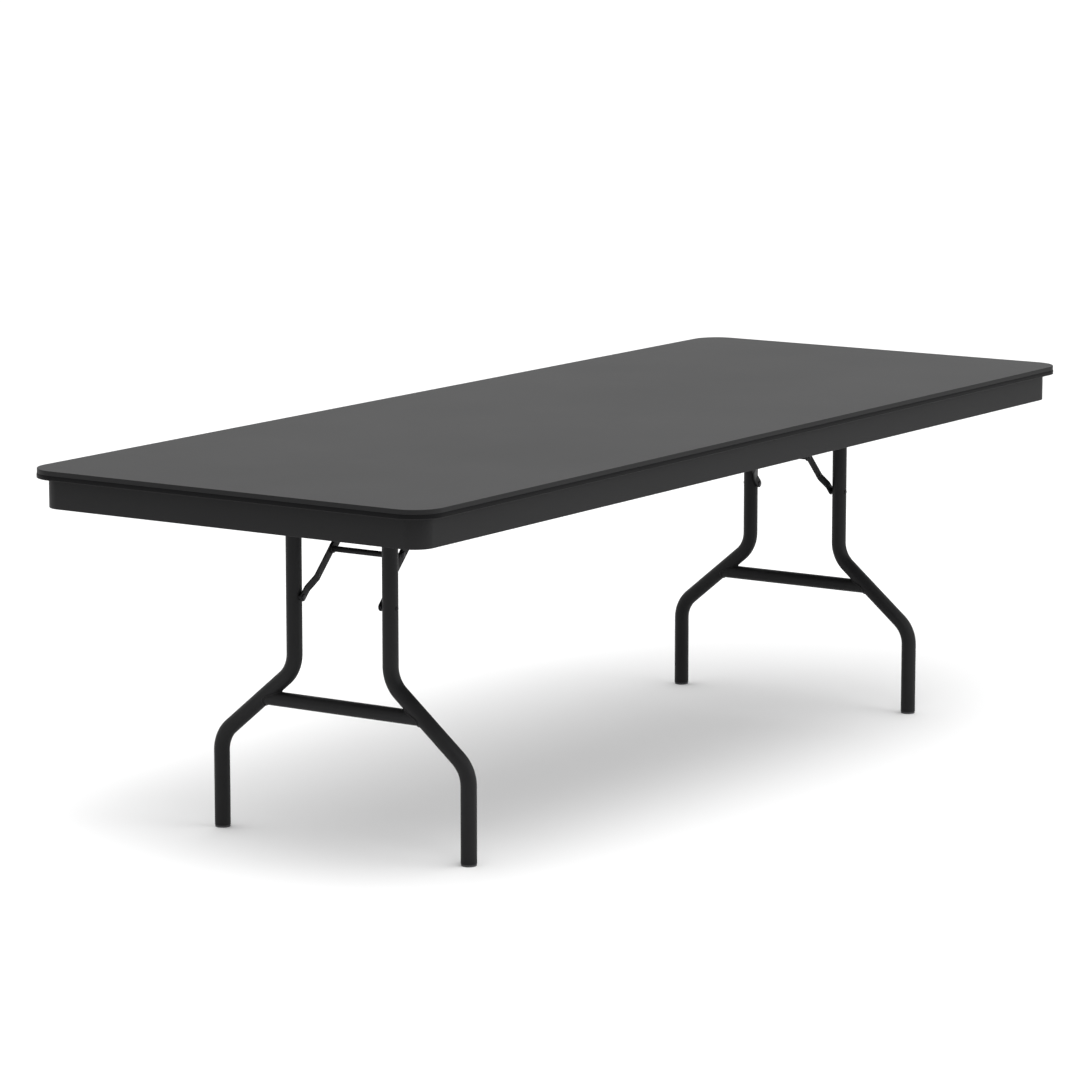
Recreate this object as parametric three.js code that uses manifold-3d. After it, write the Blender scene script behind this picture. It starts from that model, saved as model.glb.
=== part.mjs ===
// Banquet folding table: a moulded plastic top on two wishbone leg frames.
// Each frame hangs on a cross tube under the top, folds towards the middle and is braced
// by two pairs of flat links. One release bar joins the upper links below their elbows.
// Millimetres, +Z up, +X along the table. The origin is on the floor under the centre.
import * as THREE from 'three';
import { mergeVertices } from 'three/addons/utils/BufferGeometryUtils.js';
import Module from 'manifold-3d';

// Driving dimensions of the top.
const TABLE_LENGTH = 2438.4;
const TABLE_WIDTH = 914.4;
const TABLE_HEIGHT = 736.6;
const CORNER_RADIUS = 62;
const SMALLEST_CORNER = 8;
const SHEET = 3;
const TOP_RIM_DEPTH = 9;
const TOP_RIM_WALL = 4;
const BAND_DEPTH = 9;
const BAND_WIDTH = 28;
const BAND_PROUD = 0.8;
const APRON_INSET = 22;
const APRON_DROP = 75.4;
const APRON_RAIL_WIDTH = 34;
const PAN_DROP = 25.3;

// Driving dimensions of a leg frame. U runs from the leg plane to the table's middle.
const LEG_PLANE_X = 840.5;
const TUBE_RADIUS = 15.9;
const TUBE_WALL = 1.5;
const UPRIGHT_Y = 113;
const FOOT_Y = 290.4;
const UPPER_KNEE_Z = 330.5;
const LOWER_KNEE_Z = 182.2;
const KNEE_RADIUS = 65;
const PIVOT_Z = 688;
const PIVOT_RADIUS = 12.7;
const PIVOT_HALF_LENGTH = 162;
const LEG_TOP_Z = 686;
const STRETCHER_RADIUS = 14.3;
const STRETCHER_Z = 268;
const GLIDE_RADIUS = 15.3;
const GLIDE_HEAD = 4;
const GLIDE_STEM = 16;
const GLIDE_STEM_RADIUS = 13.4;

// Driving dimensions of a brace. Places are given as [u, z] and heads as [radius, height].
const LEG_PIN = [0, 472.4];
const RELEASE_BAR = [81, 555.5];
const ARM_LENGTH = 147;
const LINK_WIDTH = 17;
const LINK_THICKNESS = 3;
const LINK_SIDE_GAP = 0.6;
const ARM_FOOT_Y = 90.3;
const ARM_HEAD_Y = 81.2;
const JOGGLE_START = 20;
const JOGGLE_END = 47;
const STOP_RIVET_AT = 54;
const STOP_RIVET_RADIUS = 2.5;
const UPPER_LINK_Y = 77.4;
const PIN_RADIUS = 4;
const BAR_RADIUS = 5.8;
const CAP_RADIUS = 8;
const CAP_HEIGHT = 5;
const COLLAR_RADIUS = 7;
const LEG_PIN_HEAD = [6, 1.5];
const LEG_PIN_PROUD = 0.5;
const STOP_RIVET_HEAD = [3.5, 0.4];
const ELBOW_HEAD = [6.5, 2];
const BRACE_PIN_HEAD = [6.5, 2];

// Driving dimensions of the brackets under the top.
const STRAP = 2.5;
const PIVOT_BRACKET_Y = 134;
const PIVOT_BRACKET_WIDTH = 20;
const PIVOT_FLANGE_REACH = 37;
const SCREW_REACH = 27;
const SCREW_RADIUS = 2.4;
const SCREW_HEAD_RADIUS = 5;
const SCREW_HEAD_HEIGHT = 2.6;
const CHEEK_DROP = 32;
const CHEEK_LENGTH = 26;
const HAT_FLANGE = 11;

// Touching pieces keep FIT between them, a turning pin keeps RUNNING all round, and a
// tube's coped end leaves COPE_GAP for the weld.
const FIT = 0.3;
const COPE_GAP = 0.7;
const RUNNING = 0.15;
const HALF_SIDES = 7;
const CORNER_STEPS = 4;

const BAND_TOP = TABLE_HEIGHT - TOP_RIM_DEPTH - FIT;
const BAND_BOTTOM = TABLE_HEIGHT - TOP_RIM_DEPTH - BAND_DEPTH;
const PAN_TOP = TABLE_HEIGHT - PAN_DROP;
const PAN_BOTTOM = PAN_TOP - SHEET;
const APRON_BOTTOM = TABLE_HEIGHT - APRON_DROP;
const BRACKET_TOP = PAN_BOTTOM - FIT;

const FINISH = {
  top: { color: 0x333335, roughness: 0.55, metalness: 0 },
  band: { color: 0x1c1c1e, roughness: 0.5, metalness: 0 },
  core: { color: 0xc8b48a, roughness: 0.9, metalness: 0 },
  paint: { color: 0x1b1b1c, roughness: 0.45, metalness: 0.2 },
  zinc: { color: 0x9a9c9e, roughness: 0.35, metalness: 0.9 },
  glide: { color: 0x3a3a3c, roughness: 0.6, metalness: 0 },
};

const wasm = await Module();
wasm.setup();

// A closed three.js geometry as a solid that can be cut and joined, and back again.
function toSolid(geometry) {
  const bare = geometry.clone();
  bare.deleteAttribute('normal');
  bare.deleteAttribute('uv');
  const merged = mergeVertices(bare, 1e-4);
  return new wasm.Manifold(new wasm.Mesh({
    numProp: 3,
    vertProperties: new Float32Array(merged.attributes.position.array),
    triVerts: new Uint32Array(merged.index.array),
  }));
}

function toGeometry(solid) {
  const mesh = solid.getMesh();
  const geometry = new THREE.BufferGeometry();
  geometry.setAttribute('position', new THREE.BufferAttribute(mesh.vertProperties, 3));
  geometry.setIndex(new THREE.BufferAttribute(mesh.triVerts, 1));
  geometry.computeVertexNormals();
  return geometry;
}

function cut(geometry, ...tools) {
  return toGeometry(tools.reduce((solid, tool) => solid.subtract(toSolid(tool)), toSolid(geometry)));
}

function addPart(group, name, geometry, finish) {
  const mesh = new THREE.Mesh(geometry, new THREE.MeshStandardMaterial(FINISH[finish]));
  mesh.name = name;
  group.add(mesh);
  return mesh;
}

// A shape drawn in plan and raised from z0 to z1.
function prism(shape, z0, z1, curveSegments = CORNER_STEPS) {
  const options = { depth: z1 - z0, bevelEnabled: false, curveSegments };
  return new THREE.ExtrudeGeometry(shape, options).translate(0, 0, z0);
}

// A shape drawn in side view, with its own Y as height, and given its width from y0 to y1.
function plate(shape, y0, y1, curveSegments = CORNER_STEPS) {
  const low = Math.min(y0, y1);
  const high = Math.max(y0, y1);
  const options = { depth: high - low, bevelEnabled: false, curveSegments };
  return new THREE.ExtrudeGeometry(shape, options).rotateX(Math.PI / 2).translate(0, high, 0);
}

function disc(radius) {
  const shape = new THREE.Shape();
  shape.absarc(0, 0, radius, 0, 2 * Math.PI, false);
  return shape;
}

function annulus(radius, wall) {
  const shape = disc(radius);
  shape.holes.push(disc(radius - wall));
  return shape;
}

// A round cutter or bar across the table, along Y.
function crossBar(radius, halfLength, u, z) {
  return new THREE.CylinderGeometry(radius, radius, 2 * halfLength, 2 * HALF_SIDES).translate(u, 0, z);
}

// A turned piece on the Y axis. The profile's points are [radius, y], from the inner end out.
function turned(profile, side) {
  const points = profile.map(([radius, y]) => new THREE.Vector2(radius, y));
  const geometry = new THREE.LatheGeometry(points, 2 * HALF_SIDES);
  return side < 0 ? geometry.rotateX(Math.PI) : geometry;
}

// ---- Table top: skin, edge band, apron with its pan, and the stiff core inside ----

function tableOutline(inset) {
  const halfLength = TABLE_LENGTH / 2 - inset;
  const halfWidth = TABLE_WIDTH / 2 - inset;
  const radius = Math.max(CORNER_RADIUS - inset, SMALLEST_CORNER);
  const shape = new THREE.Shape();
  shape.absarc(halfLength - radius, halfWidth - radius, radius, 0, Math.PI / 2, false);
  shape.absarc(radius - halfLength, halfWidth - radius, radius, Math.PI / 2, Math.PI, false);
  shape.absarc(radius - halfLength, radius - halfWidth, radius, Math.PI, 1.5 * Math.PI, false);
  shape.absarc(halfLength - radius, radius - halfWidth, radius, 1.5 * Math.PI, 2 * Math.PI, false);
  shape.closePath();
  return shape;
}

function tablePrism(inset, z0, z1) {
  return prism(tableOutline(inset), z0, z1);
}

// The top sheet and the rim that is folded down round it.
function topSkin() {
  const underside = TABLE_HEIGHT - SHEET;
  const blank = tablePrism(0, TABLE_HEIGHT - TOP_RIM_DEPTH, TABLE_HEIGHT);
  return cut(blank, tablePrism(TOP_RIM_WALL, 0, underside));
}

// The dark ring between the skin's rim and the apron, a little prouder than both.
function edgeBand() {
  const ring = tableOutline(-BAND_PROUD);
  ring.holes.push(tableOutline(BAND_WIDTH));
  return prism(ring, BAND_BOTTOM, BAND_TOP);
}

// A hollow rail all round and the pan that it frames: one sheet of even thickness,
// open upwards to the core and downwards to the bay that the legs fold into.
function apronShell() {
  const rail = APRON_INSET + APRON_RAIL_WIDTH;
  const blank = tablePrism(APRON_INSET, APRON_BOTTOM, BAND_BOTTOM - FIT);
  const legBay = tablePrism(rail, 0, PAN_BOTTOM);
  const coreSeat = tablePrism(APRON_INSET + SHEET, PAN_TOP, TABLE_HEIGHT);
  const railOuter = tablePrism(APRON_INSET + SHEET, APRON_BOTTOM + SHEET, TABLE_HEIGHT);
  const railInner = tablePrism(rail - SHEET, 0, TABLE_HEIGHT);
  const railHollow = toSolid(railOuter).subtract(toSolid(railInner));
  const shell = toSolid(blank).subtract(toSolid(legBay)).subtract(toSolid(coreSeat)).subtract(railHollow);
  const holes = screwPlaces().map(([x, y]) => screwHole(x, y, PAN_BOTTOM, PAN_TOP));
  return toGeometry(holes.reduce((solid, hole) => solid.subtract(toSolid(hole)), shell));
}

// A cutter for a screw's hole through a sheet that lies between two heights.
function screwHole(x, y, low, high) {
  const through = prism(disc(SCREW_RADIUS + RUNNING), low - 1, high + 1, HALF_SIDES);
  return through.translate(x, y, 0);
}

// The screws of the pivot brackets, as [x, y] on the pan.
function screwPlaces() {
  const places = [];
  for (const end of [-1, 1]) {
    for (const side of [-1, 1]) {
      for (const reach of [-SCREW_REACH, SCREW_REACH]) {
        const y = side * (PIVOT_BRACKET_Y + PIVOT_BRACKET_WIDTH / 2);
        places.push([end * LEG_PLANE_X + reach, y]);
      }
    }
  }
  return places;
}

function buildTop(group) {
  const coreInset = BAND_WIDTH + FIT;
  addPart(group, 'top_skin', topSkin(), 'top');
  addPart(group, 'edge_band', edgeBand(), 'band');
  addPart(group, 'apron_shell', apronShell(), 'top');
  const core = tablePrism(coreInset, PAN_TOP + FIT, TABLE_HEIGHT - SHEET - FIT);
  addPart(group, 'core_panel', core, 'core');
}

// ---- Leg frame ----

// A curve that is sampled only at its stations, so a bent tube has sections just where it turns.
class StationPath extends THREE.Curve {
  constructor(stations) {
    super();
    this.stations = stations;
  }

  station(t) {
    return this.stations[Math.round(t * (this.stations.length - 1))];
  }

  getPointAt(t) {
    return this.station(t).point.clone();
  }

  getTangentAt(t) {
    return this.station(t).tangent.clone();
  }
}

// Stations along straight runs joined by bends of one radius, through corners given as [y, z].
function bentStations(corners, radius, stepsPerBend = 4) {
  const points = corners.map(([y, z]) => new THREE.Vector3(0, y, z));
  const heading = (i) => points[i + 1].clone().sub(points[i]).normalize();
  const stations = [{ point: points[0], tangent: heading(0) }];
  for (let i = 1; i < points.length - 1; i += 1) {
    const before = heading(i - 1);
    const after = heading(i);
    const angle = before.angleTo(after);
    const axis = before.clone().cross(after).normalize();
    const start = points[i].clone().addScaledVector(before, -radius * Math.tan(angle / 2));
    const inward = axis.clone().cross(before);
    const centre = start.clone().addScaledVector(inward, radius);
    for (let step = 0; step <= stepsPerBend; step += 1) {
      const turn = (angle * step) / stepsPerBend;
      const tangent = before.clone().applyAxisAngle(axis, turn);
      const point = inward.clone().applyAxisAngle(axis, turn).multiplyScalar(-radius).add(centre);
      stations.push({ point, tangent });
    }
  }
  const last = points.length - 1;
  stations.push({ point: points[last], tangent: heading(last - 1) });
  return stations;
}

function bentTube(section, side, topZ) {
  const corners = [
    [side * UPRIGHT_Y, topZ],
    [side * UPRIGHT_Y, UPPER_KNEE_Z],
    [side * FOOT_Y, LOWER_KNEE_Z],
    [side * FOOT_Y, GLIDE_HEAD + FIT],
  ];
  const path = new StationPath(bentStations(corners, KNEE_RADIUS));
  const options = { steps: path.stations.length - 1, extrudePath: path, curveSegments: HALF_SIDES };
  return new THREE.ExtrudeGeometry(section, options);
}

// One leg: coped over the pivot tube at the top and drilled across for the brace pin.
function legTube(side) {
  const tube = bentTube(annulus(TUBE_RADIUS, TUBE_WALL), side, LEG_TOP_Z);
  const cope = crossBar(PIVOT_RADIUS + COPE_GAP, PIVOT_HALF_LENGTH, 0, PIVOT_Z);
  const pinHole = crossBar(PIN_RADIUS + RUNNING, PIVOT_HALF_LENGTH, ...LEG_PIN);
  return cut(tube, cope, pinHole);
}

// How far from the middle a leg's slanting run is at a given height.
function slantY(z) {
  const share = (UPPER_KNEE_Z - z) / (UPPER_KNEE_Z - LOWER_KNEE_Z);
  return UPRIGHT_Y + share * (FOOT_Y - UPRIGHT_Y);
}

// The cross tube between the slanting runs, with its ends shaped to the legs.
function stretcher() {
  const reach = slantY(STRETCHER_Z);
  const tube = plate(annulus(STRETCHER_RADIUS, TUBE_WALL), -reach, reach, HALF_SIDES);
  const legs = [-1, 1].map((side) => bentTube(disc(TUBE_RADIUS + COPE_GAP), side, LEG_TOP_Z));
  return cut(tube.translate(0, 0, STRETCHER_Z), ...legs);
}

function glide() {
  const profile = [[0, 0], [GLIDE_RADIUS - 1, 0], [GLIDE_RADIUS, 1], [GLIDE_RADIUS, GLIDE_HEAD]];
  profile.push([GLIDE_STEM_RADIUS, GLIDE_HEAD], [GLIDE_STEM_RADIUS, GLIDE_HEAD + GLIDE_STEM]);
  profile.push([0, GLIDE_HEAD + GLIDE_STEM]);
  return turned(profile, 1).rotateX(Math.PI / 2);
}

// A pin with a head at each end, its shank running from y0 out to y1.
function headedPin(y0, y1, shankRadius, [headRadius, headHeight], side) {
  return turned([
    [0, y0 - headHeight],
    [headRadius, y0 - headHeight],
    [headRadius, y0],
    [shankRadius, y0],
    [shankRadius, y1],
    [headRadius, y1],
    [headRadius, y1 + headHeight],
    [0, y1 + headHeight],
  ], side);
}

// The arm's pin in the leg: headed inside the arm, with a collar that keeps the arm off the
// tube and an end that is all but flush outside.
function legPin(side) {
  const [headRadius, headHeight] = LEG_PIN_HEAD;
  const seat = ARM_FOOT_Y - FIT;
  const collarInner = ARM_FOOT_Y + LINK_THICKNESS + FIT;
  const collarOuter = UPRIGHT_Y - TUBE_RADIUS - FIT;
  const end = UPRIGHT_Y + TUBE_RADIUS + LEG_PIN_PROUD;
  return turned([
    [0, seat - headHeight],
    [headRadius, seat - headHeight],
    [headRadius, seat],
    [PIN_RADIUS, seat],
    [PIN_RADIUS, collarInner],
    [COLLAR_RADIUS, collarInner],
    [COLLAR_RADIUS, collarOuter],
    [PIN_RADIUS, collarOuter],
    [PIN_RADIUS, end],
    [0, end],
  ], side);
}

function buildLegFrame(group, end) {
  const pivot = plate(annulus(PIVOT_RADIUS, TUBE_WALL), -PIVOT_HALF_LENGTH, PIVOT_HALF_LENGTH, HALF_SIDES);
  addPart(group, `${end}_pivot_tube`, pivot, 'paint').position.set(0, 0, PIVOT_Z);
  addPart(group, `${end}_stretcher_tube`, stretcher(), 'paint');
  for (const [hand, side] of [['left', 1], ['right', -1]]) {
    addPart(group, `${end}_${hand}_leg_tube`, legTube(side), 'paint');
    addPart(group, `${end}_${hand}_glide`, glide(), 'glide').position.set(0, side * FOOT_Y, 0);
    addPart(group, `${end}_${hand}_leg_pin`, legPin(side), 'zinc').position.set(LEG_PIN[0], 0, LEG_PIN[1]);
  }
}

// ---- Brace: a joggled lower arm and a flat upper link, all but in line when the leg is up, ----
// ---- and the bar that joins the two links' tails ----

// The arm points past the release bar to the elbow.
const ARM_ANGLE = Math.atan2(RELEASE_BAR[1] - LEG_PIN[1], RELEASE_BAR[0] - LEG_PIN[0]);
const ELBOW = [
  LEG_PIN[0] + ARM_LENGTH * Math.cos(ARM_ANGLE),
  LEG_PIN[1] + ARM_LENGTH * Math.sin(ARM_ANGLE),
];

// The upper link's pivot lies at the height of the leg's own pivot, as far out as lets
// the folded brace lie flat: with the leg down flat, arm and link then reach the same elbow.
function upperPivotU() {
  const foldedElbow = PIVOT_Z - LEG_PIN[1] + ARM_LENGTH;
  const rise = PIVOT_Z - ELBOW[1];
  return (foldedElbow ** 2 - ELBOW[0] ** 2 - rise ** 2) / (2 * (foldedElbow - ELBOW[0]));
}

const UPPER_PIVOT = [upperPivotU(), PIVOT_Z];
const LINK_ANGLE = Math.atan2(UPPER_PIVOT[1] - ELBOW[1], UPPER_PIVOT[0] - ELBOW[0]);
const LINK_LENGTH = Math.hypot(UPPER_PIVOT[0] - ELBOW[0], UPPER_PIVOT[1] - ELBOW[1]);
const LINK_TAIL = Math.hypot(RELEASE_BAR[0] - ELBOW[0], RELEASE_BAR[1] - ELBOW[1]);

// A strip with round ends, given the places of its end centres along it.
function stadium(from, to) {
  const radius = LINK_WIDTH / 2;
  const shape = new THREE.Shape();
  shape.absarc(from, 0, radius, Math.PI / 2, 1.5 * Math.PI, false);
  shape.absarc(to, 0, radius, -Math.PI / 2, Math.PI / 2, false);
  shape.closePath();
  return shape;
}

function pinHole(at, pinRadius = PIN_RADIUS) {
  return crossBar(pinRadius + RUNNING, PIVOT_HALF_LENGTH, at, 0);
}

// The arm along X: a strip that steps sideways towards the middle, to lie beside the link.
function lowerArm(side) {
  const tip = LINK_WIDTH / 2;
  const outline = [
    [-tip, ARM_FOOT_Y],
    [JOGGLE_START, ARM_FOOT_Y],
    [JOGGLE_END, ARM_HEAD_Y],
    [ARM_LENGTH + tip, ARM_HEAD_Y],
    [ARM_LENGTH + tip, ARM_HEAD_Y + LINK_THICKNESS],
    [JOGGLE_END, ARM_HEAD_Y + LINK_THICKNESS],
    [JOGGLE_START, ARM_FOOT_Y + LINK_THICKNESS],
    [-tip, ARM_FOOT_Y + LINK_THICKNESS],
  ];
  const strip = prism(
    new THREE.Shape(outline.map(([along, y]) => new THREE.Vector2(along, side * y))),
    -LINK_WIDTH / 2,
    LINK_WIDTH / 2,
  );
  const blank = plate(stadium(0, ARM_LENGTH), 0, side * PIVOT_HALF_LENGTH);
  const arm = toGeometry(toSolid(strip).intersect(toSolid(blank)));
  return cut(arm, pinHole(0), pinHole(ARM_LENGTH), pinHole(STOP_RIVET_AT, STOP_RIVET_RADIUS));
}

function buildLowerBrace(group, end) {
  for (const [hand, side] of [['left', 1], ['right', -1]]) {
    const arm = new THREE.Group();
    arm.position.set(LEG_PIN[0], 0, LEG_PIN[1]);
    arm.rotation.y = -ARM_ANGLE;
    group.add(arm);
    addPart(arm, `${end}_${hand}_lower_arm`, lowerArm(side), 'paint');
    const outside = ARM_HEAD_Y + LINK_THICKNESS + FIT;
    const cap = turned([
      [0, ARM_HEAD_Y],
      [PIN_RADIUS, ARM_HEAD_Y],
      [PIN_RADIUS, outside],
      [CAP_RADIUS, outside],
      [CAP_RADIUS, outside + CAP_HEIGHT],
      [0, outside + CAP_HEIGHT],
    ], side);
    addPart(arm, `${end}_${hand}_elbow_cap`, cap, 'zinc').position.x = ARM_LENGTH;
    const rivet = headedPin(ARM_HEAD_Y - FIT, outside, STOP_RIVET_RADIUS, STOP_RIVET_HEAD, side);
    addPart(arm, `${end}_${hand}_stop_rivet`, rivet, 'zinc').position.x = STOP_RIVET_AT;
  }
}

// The bar between the upper links, necked down at both ends to pass through them.
function releaseBar() {
  const shoulder = UPPER_LINK_Y - FIT;
  const neck = UPPER_LINK_Y + LINK_THICKNESS;
  return turned([
    [0, -neck],
    [PIN_RADIUS, -neck],
    [PIN_RADIUS, -shoulder],
    [BAR_RADIUS, -shoulder],
    [BAR_RADIUS, shoulder],
    [PIN_RADIUS, shoulder],
    [PIN_RADIUS, neck],
    [0, neck],
  ], 1);
}

// The link along X with the elbow at 0. Its half of the elbow's rivet is headed over inside it.
function upperLink(side) {
  const y = side * UPPER_LINK_Y;
  const [headRadius, headHeight] = ELBOW_HEAD;
  const blank = plate(stadium(-LINK_TAIL, LINK_LENGTH), y, y + side * LINK_THICKNESS);
  const head = plate(disc(headRadius), y - side * headHeight, y + side, HALF_SIDES);
  const riveted = toGeometry(toSolid(blank).add(toSolid(head)));
  return cut(riveted, pinHole(-LINK_TAIL), pinHole(LINK_LENGTH));
}

function buildUpperBrace(group, end) {
  const links = new THREE.Group();
  links.position.set(ELBOW[0], 0, ELBOW[1]);
  links.rotation.y = -LINK_ANGLE;
  group.add(links);
  for (const [hand, side] of [['left', 1], ['right', -1]]) {
    addPart(links, `${end}_${hand}_upper_link`, upperLink(side), 'paint');
  }
  addPart(links, `${end}_release_bar`, releaseBar(), 'paint').position.x = -LINK_TAIL;
}

// ---- Brackets on the pan ----

// A strap bent round the pivot tube, with a flange either side for its two screws.
function pivotBracket(side) {
  const inner = PIVOT_RADIUS + FIT;
  const outer = inner + STRAP;
  const flangeBottom = BRACKET_TOP - STRAP;
  const shape = new THREE.Shape();
  shape.moveTo(-PIVOT_FLANGE_REACH, BRACKET_TOP);
  shape.lineTo(-PIVOT_FLANGE_REACH, flangeBottom);
  shape.lineTo(-outer, flangeBottom);
  shape.absarc(0, PIVOT_Z, outer, Math.PI, 2 * Math.PI, false);
  shape.lineTo(outer, flangeBottom);
  shape.lineTo(PIVOT_FLANGE_REACH, flangeBottom);
  shape.lineTo(PIVOT_FLANGE_REACH, BRACKET_TOP);
  shape.lineTo(inner, BRACKET_TOP);
  shape.absarc(0, PIVOT_Z, inner, 0, -Math.PI, true);
  shape.lineTo(-inner, BRACKET_TOP);
  shape.closePath();
  const y0 = side * PIVOT_BRACKET_Y;
  const y1 = side * (PIVOT_BRACKET_Y + PIVOT_BRACKET_WIDTH);
  const middle = (y0 + y1) / 2;
  const holes = [-SCREW_REACH, SCREW_REACH].map((u) => screwHole(u, middle, flangeBottom, BRACKET_TOP));
  return cut(plate(shape, y0, y1), ...holes);
}

function screw() {
  const headTop = BRACKET_TOP - STRAP - FIT;
  return turned([
    [0, headTop - SCREW_HEAD_HEIGHT],
    [SCREW_HEAD_RADIUS, headTop - SCREW_HEAD_HEIGHT],
    [SCREW_HEAD_RADIUS, headTop],
    [SCREW_RADIUS, headTop],
    [SCREW_RADIUS, PAN_TOP],
    [0, PAN_TOP],
  ], 1).rotateX(Math.PI / 2);
}

// A hat-section bracket: two cheeks that hold the upper link's pin, between two flanges.
function braceBracket(side) {
  const inside = UPPER_LINK_Y - LINK_SIDE_GAP;
  const outside = UPPER_LINK_Y + LINK_THICKNESS + LINK_SIDE_GAP;
  const low = BRACKET_TOP - CHEEK_DROP;
  const profile = [
    [inside - STRAP - HAT_FLANGE, BRACKET_TOP],
    [outside + STRAP + HAT_FLANGE, BRACKET_TOP],
    [outside + STRAP + HAT_FLANGE, BRACKET_TOP - STRAP],
    [outside + STRAP, BRACKET_TOP - STRAP],
    [outside + STRAP, low],
    [outside, low],
    [outside, BRACKET_TOP - STRAP],
    [inside, BRACKET_TOP - STRAP],
    [inside, low],
    [inside - STRAP, low],
    [inside - STRAP, BRACKET_TOP - STRAP],
    [inside - STRAP - HAT_FLANGE, BRACKET_TOP - STRAP],
  ];
  const shape = new THREE.Shape(profile.map(([y, z]) => new THREE.Vector2(side * y, z)));
  const options = { depth: CHEEK_LENGTH, bevelEnabled: false };
  const hat = new THREE.ExtrudeGeometry(shape, options);
  hat.rotateX(Math.PI / 2).rotateZ(Math.PI / 2).translate(-CHEEK_LENGTH / 2, 0, 0);
  return cut(hat, crossBar(PIN_RADIUS + RUNNING, PIVOT_HALF_LENGTH, 0, PIVOT_Z));
}

function buildBrackets(group, end) {
  for (const [hand, side] of [['left', 1], ['right', -1]]) {
    addPart(group, `${end}_${hand}_pivot_bracket`, pivotBracket(side), 'zinc');
    for (const [place, u] of [['outer', -SCREW_REACH], ['inner', SCREW_REACH]]) {
      const y = side * (PIVOT_BRACKET_Y + PIVOT_BRACKET_WIDTH / 2);
      addPart(group, `${end}_${hand}_${place}_screw`, screw(), 'zinc').position.set(u, y, 0);
    }
    addPart(group, `${end}_${hand}_brace_bracket`, braceBracket(side), 'zinc').position.x = UPPER_PIVOT[0];
    const cheeks = LINK_SIDE_GAP + STRAP + FIT;
    const inner = UPPER_LINK_Y - cheeks;
    const outer = UPPER_LINK_Y + LINK_THICKNESS + cheeks;
    const pin = headedPin(inner, outer, PIN_RADIUS, BRACE_PIN_HEAD, side);
    addPart(group, `${end}_${hand}_brace_pin`, pin, 'zinc').position.set(UPPER_PIVOT[0], 0, PIVOT_Z);
  }
}

// ---- Assembly: the far end is the near end turned half round ----

const table = new THREE.Group();
table.name = 'folding_table';
buildTop(table);
for (const [end, turn] of [['near', 0], ['far', Math.PI]]) {
  const legSet = new THREE.Group();
  legSet.position.x = turn === 0 ? -LEG_PLANE_X : LEG_PLANE_X;
  legSet.rotation.z = turn;
  table.add(legSet);
  buildLegFrame(legSet, end);
  buildLowerBrace(legSet, end);
  buildUpperBrace(legSet, end);
  buildBrackets(legSet, end);
}

export default table;
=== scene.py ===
import math

import bpy
import numpy as np
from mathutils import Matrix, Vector


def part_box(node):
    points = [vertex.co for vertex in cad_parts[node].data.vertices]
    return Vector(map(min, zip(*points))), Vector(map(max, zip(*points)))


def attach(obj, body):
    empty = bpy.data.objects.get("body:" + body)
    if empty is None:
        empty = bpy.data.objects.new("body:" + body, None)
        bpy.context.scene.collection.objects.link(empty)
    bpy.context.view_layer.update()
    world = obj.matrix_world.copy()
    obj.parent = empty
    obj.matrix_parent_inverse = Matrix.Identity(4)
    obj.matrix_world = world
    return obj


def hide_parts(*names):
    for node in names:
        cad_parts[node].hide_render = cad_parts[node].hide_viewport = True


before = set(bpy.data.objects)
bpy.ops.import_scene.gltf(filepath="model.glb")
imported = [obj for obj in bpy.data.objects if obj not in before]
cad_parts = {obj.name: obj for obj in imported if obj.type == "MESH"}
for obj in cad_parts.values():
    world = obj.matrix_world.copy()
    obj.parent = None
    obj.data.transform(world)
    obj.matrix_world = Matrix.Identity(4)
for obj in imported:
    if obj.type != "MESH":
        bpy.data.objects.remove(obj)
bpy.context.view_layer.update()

# --------------------------------
# Top sheet. The upper of two vacuum-formed plastic sheets, charcoal right through, with a
# fine leather grain from the tool. It is formed flat and folded down round its edge.
# --------------------------------

MM = 0.001
CORNER_RADIUS = 62 * MM
SMALLEST_CORNER = 8 * MM
SHEET = 3 * MM
RIM_WALL = 4 * MM
TOP_EDGE_ROUND = 0.8 * MM
RIM_EDGE_ROUND = 0.3 * MM
FLAT_FROM = 30 * MM
CORNER_STEPS = 20
SHARP_ANGLE = math.radians(38)


def arc(centre, radius, start, end, steps):
    """Points of a circle's arc: centre plus radius times cosine and sine, from start to end in degrees."""
    angle = np.radians(np.linspace(start, end, steps))
    return np.array(centre) + radius * np.stack([np.cos(angle), np.sin(angle)], 1)


def carried_round(profile, half_length, half_width):
    """A profile of [inset, height] carried round a rectangle with round corners. A corner's points
    are its centre plus (corner radius less inset) times cosine and sine, and the centre moves in
    only where that radius would be under the smallest corner."""
    inset, height = np.array(profile).T[:, :, None]
    turn = np.radians(np.linspace(0, 90, CORNER_STEPS)[None, :] + 90 * np.arange(4)[:, None])
    radius = np.maximum(CORNER_RADIUS - inset, SMALLEST_CORNER)
    across = np.sign(np.cos(np.pi / 4 + np.pi / 2 * np.arange(4)))[:, None] * np.ones_like(turn)
    along = np.sign(np.sin(np.pi / 4 + np.pi / 2 * np.arange(4)))[:, None] * np.ones_like(turn)
    x = across.ravel() * (half_length - inset - radius) + radius * np.cos(turn).ravel()
    y = along.ravel() * (half_width - inset - radius) + radius * np.sin(turn).ravel()
    return np.stack([x, y, height + 0 * x], 2)


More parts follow.
